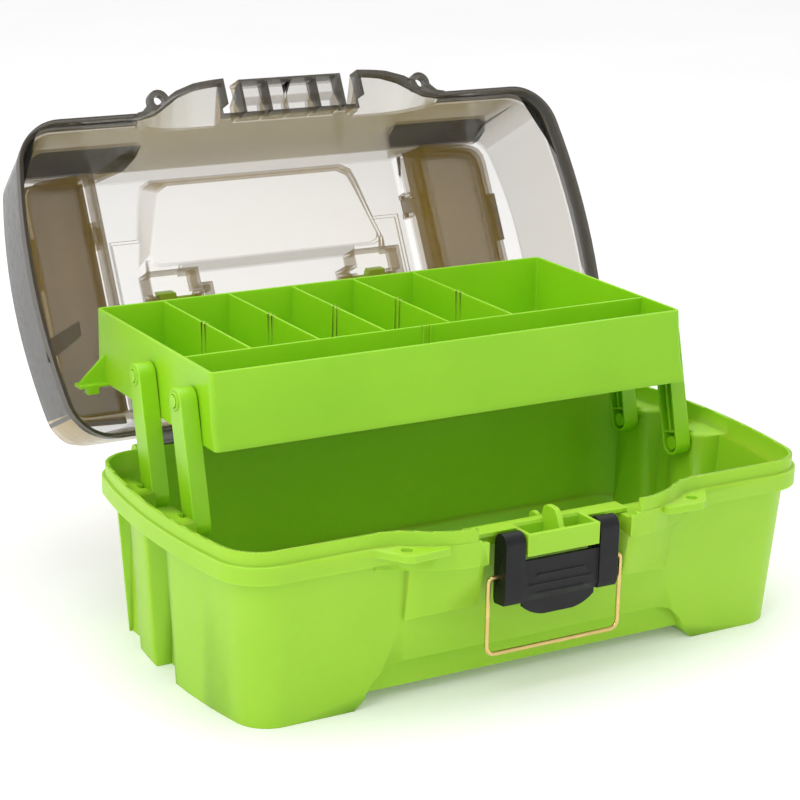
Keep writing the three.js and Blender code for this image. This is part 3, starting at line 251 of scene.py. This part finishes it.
def softened(node, name, body, material, radius, weld=0.02 * MM):
    """A CAD node as a moulded piece: welded, flat faces joined, sharp edges rounded, smooth-shaded.

    A radius of 0 leaves the edges to the material's own rounding.
    """
    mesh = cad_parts[node].data.copy()
    mesh.name = name
    shape = bmesh.new()
    shape.from_mesh(mesh)
    bmesh.ops.remove_doubles(shape, verts=shape.verts, dist=weld)
    bmesh.ops.dissolve_limit(
        shape, angle_limit=FLAT_ANGLE, verts=shape.verts, edges=shape.edges, delimit=set()
    )
    if radius:
        sharp = [
            edge for edge in shape.edges
            if len(edge.link_faces) == 2
            and edge.calc_face_angle(0.0) > SHARP_ANGLE
            and min(face_width(face) for face in edge.link_faces) > WIDEST_ROUND * radius
        ]
        bmesh.ops.bevel(
            shape, geom=sharp, offset=radius, offset_type="OFFSET", segments=2, profile=0.5,
            affect="EDGES", clamp_overlap=False, miter_outer="SHARP", loop_slide=True,
        )
    bmesh.ops.triangulate(shape, faces=[face for face in shape.faces if len(face.verts) > 4])
    for face in shape.faces:
        face.smooth = True
    shape.to_mesh(mesh)
    shape.free()
    mesh.set_sharp_from_angle(angle=SHADING_ANGLE)
    mesh.materials.clear()
    mesh.materials.append(material)
    piece = bpy.data.objects.new(name, mesh)
    bpy.context.scene.collection.objects.link(piece)
    even = piece.modifiers.new("even_normals", "WEIGHTED_NORMAL")
    even.keep_sharp = True
    even.weight = 60
    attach(piece, body)
    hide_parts(node)
    return piece


def paint_lid_smoke_and_shade(mesh):
    """Gives the lid its darker smoke on the rim and its painted shade on the facets and outer ends, in
    the order that the function above numbers them.
    """
    mesh.materials.append(SMOKE_RIM_AND_SHADE)
    mesh.materials.append(SMOKE_END)
    for polygon in mesh.polygons:
        polygon.material_index = lid_smoke_and_shade(polygon)


BAIL = {"wire": 1.3 * MM, "low_bend": 5.0 * MM, "high_bend": 2.6 * MM, "stub": 9.5 * MM, "bend_steps": 8}


def bail_route():
    """Points along the middle of the bail's wire: in at the top, down, across, up and in again."""
    low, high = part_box("latch_bail")
    wire, steps = BAIL["wire"], BAIL["bend_steps"]
    y = (low.y + high.y) / 2
    half, bottom, top = high.x - wire, low.z + wire, high.z - wire
    stub = half - BAIL["stub"]
    corners = [(-stub, top), (-half, top), (-half, bottom), (half, bottom), (half, top), (stub, top)]
    bends = [0.0, BAIL["high_bend"], BAIL["low_bend"], BAIL["low_bend"], BAIL["high_bend"], 0.0]
    route = []
    for i, (x, z) in enumerate(corners):
        here = Vector((x, y, z))
        if not bends[i]:
            route.append(here)
            continue
        before = Vector((corners[i - 1][0], y, corners[i - 1][1]))
        after = Vector((corners[i + 1][0], y, corners[i + 1][1]))
        start = here + (before - here).normalized() * bends[i]
        end = here + (after - here).normalized() * bends[i]
        centre = start + end - here
        for step in range(steps + 1):
            turn = math.pi / 2 * step / steps
            route.append(centre + (here - end) * math.cos(turn) + (here - start) * math.sin(turn))
    return route


def make_bail():
    """The wire bail: one bent length of round wire that fills its node's box."""
    route = bail_route()
    curve = bpy.data.curves.new("bail_route", "CURVE")
    curve.dimensions = "3D"
    curve.bevel_depth = BAIL["wire"]
    curve.bevel_resolution = 5
    curve.use_fill_caps = True
    spline = curve.splines.new("POLY")
    spline.points.add(len(route) - 1)
    for point, place in zip(spline.points, route):
        point.co = (*place, 1.0)
    holder = bpy.data.objects.new("bail_route", curve)
    bpy.context.scene.collection.objects.link(holder)
    bpy.context.view_layer.update()
    graph = bpy.context.evaluated_depsgraph_get()
    mesh = bpy.data.meshes.new_from_object(holder.evaluated_get(graph))
    bpy.data.objects.remove(holder)
    mesh.materials.clear()
    mesh.materials.append(BRASS)
    mesh.set_sharp_from_angle(angle=math.radians(50.0))
    piece = bpy.data.objects.new("bail_wire", mesh)
    bpy.context.scene.collection.objects.link(piece)
    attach(piece, "bail")
    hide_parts("latch_bail")


softened("tub", "tub_moulding", "tub", LIME, 0.0)
softened("tray", "tray_moulding", "tray", LIME_SMOOTH, 0.25 * MM)
lid = softened("lid_shell", "lid_moulding", "lid", SMOKE, 0.2 * MM, weld=0.05 * MM)
paint_lid_smoke_and_shade(lid.data)
for side in ("left", "right"):
    hatch = f"hatch_{side}"
    softened(hatch, f"hatch_cover_{side}", hatch, SMOKE_HATCH, 0.15 * MM)
    softened(f"hinge_pin_{side}", f"hinge_rod_{side}", "tub", STEEL, 0.0)
    for end in ("front", "rear"):
        arm = f"arm_{end}_{side}"
        softened(arm, f"lift_{arm}", arm, LIME_SMOOTH, 0.4 * MM)
softened("carry_handle", "handle_moulding", "handle", LIME_SMOOTH, 0.45 * MM)
softened("latch_lever", "latch_moulding", "latch", BLACK, 0.4 * MM, weld=0.12 * MM)
make_bail()


# ---------- stage ----------

LIGHT_TARGET = Vector((0.0, 0.0, 0.1))


def area_light(name, place, size, power):
    """A square soft light that faces the box."""
    data = bpy.data.lights.new(name, "AREA")
    data.shape = "RECTANGLE"
    data.size = data.size_y = size
    data.energy = power
    lamp = bpy.data.objects.new(name, data)
    bpy.context.scene.collection.objects.link(lamp)
    lamp.location = place
    lamp.rotation_euler = (LIGHT_TARGET - Vector(place)).to_track_quat("-Z", "Y").to_euler()


FLOOR_HALF = 6.0


def make_floor():
    """A wide, flat, pale floor that gives off a little light of its own."""
    n = Nodes("floor_pale")
    tone = n.remap(n.noise(3.0, 3.0), 0.35, 0.65, 0.0, 1.0)
    n.link(n.mix(tone, (0.93, 0.93, 0.93), (0.95, 0.95, 0.95)), n.shader.inputs["Base Color"])
    n.shader.inputs["Roughness"].default_value = 0.9
    n.shader.inputs["Emission Color"].default_value = (1.0, 1.0, 1.0, 1.0)
    n.shader.inputs["Emission Strength"].default_value = 0.1
    half = FLOOR_HALF
    mesh = bpy.data.meshes.new("floor")
    corners = [(-half, -half, 0.0), (half, -half, 0.0), (half, half, 0.0), (-half, half, 0.0)]
    mesh.from_pydata(corners, [], [(0, 1, 2, 3)])
    mesh.materials.append(n.material)
    floor = bpy.data.objects.new("floor", mesh)
    bpy.context.scene.collection.objects.link(floor)


def make_world():
    """An even white sky."""
    world = bpy.data.worlds.new("studio")
    world.use_nodes = True
    background = world.node_tree.nodes["Background"]
    background.inputs["Color"].default_value = (1.0, 1.0, 1.0, 1.0)
    background.inputs["Strength"].default_value = 0.88
    bpy.context.scene.world = world


# The camera's place, and the turn from the world's axes to the view's as axis times angle in radians.
CAMERA_PLACE = (-0.6549, -1.13284, 0.5082)
CAMERA_TURN = (1.81969057, -0.474063346, 0.380192126)
LENS_MM, SENSOR_MM = 101.72, 36.0


def make_camera():
    """A long lens from the front left, a little above the lid."""
    data = bpy.data.cameras.new("camera")
    data.sensor_width = SENSOR_MM
    data.lens = LENS_MM
    data.clip_start, data.clip_end = 0.01, 50.0
    camera = bpy.data.objects.new("camera", data)
    bpy.context.scene.collection.objects.link(camera)
    turn = Vector(CAMERA_TURN)
    world_to_view = Matrix.Rotation(turn.length, 3, turn.normalized())
    flip = Matrix(((1, 0, 0), (0, -1, 0), (0, 0, -1)))
    rotation = world_to_view.transposed() @ flip
    camera.matrix_world = Matrix.Translation(CAMERA_PLACE) @ rotation.to_4x4()
    bpy.context.scene.camera = camera


make_floor()
make_world()
make_camera()
area_light("key", (-1.3, -0.7, 1.2), 0.9, 8.0)
area_light("top", (0.1, 0.2, 1.7), 1.4, 10.0)
bpy.context.scene.view_settings.view_transform = "Standard"
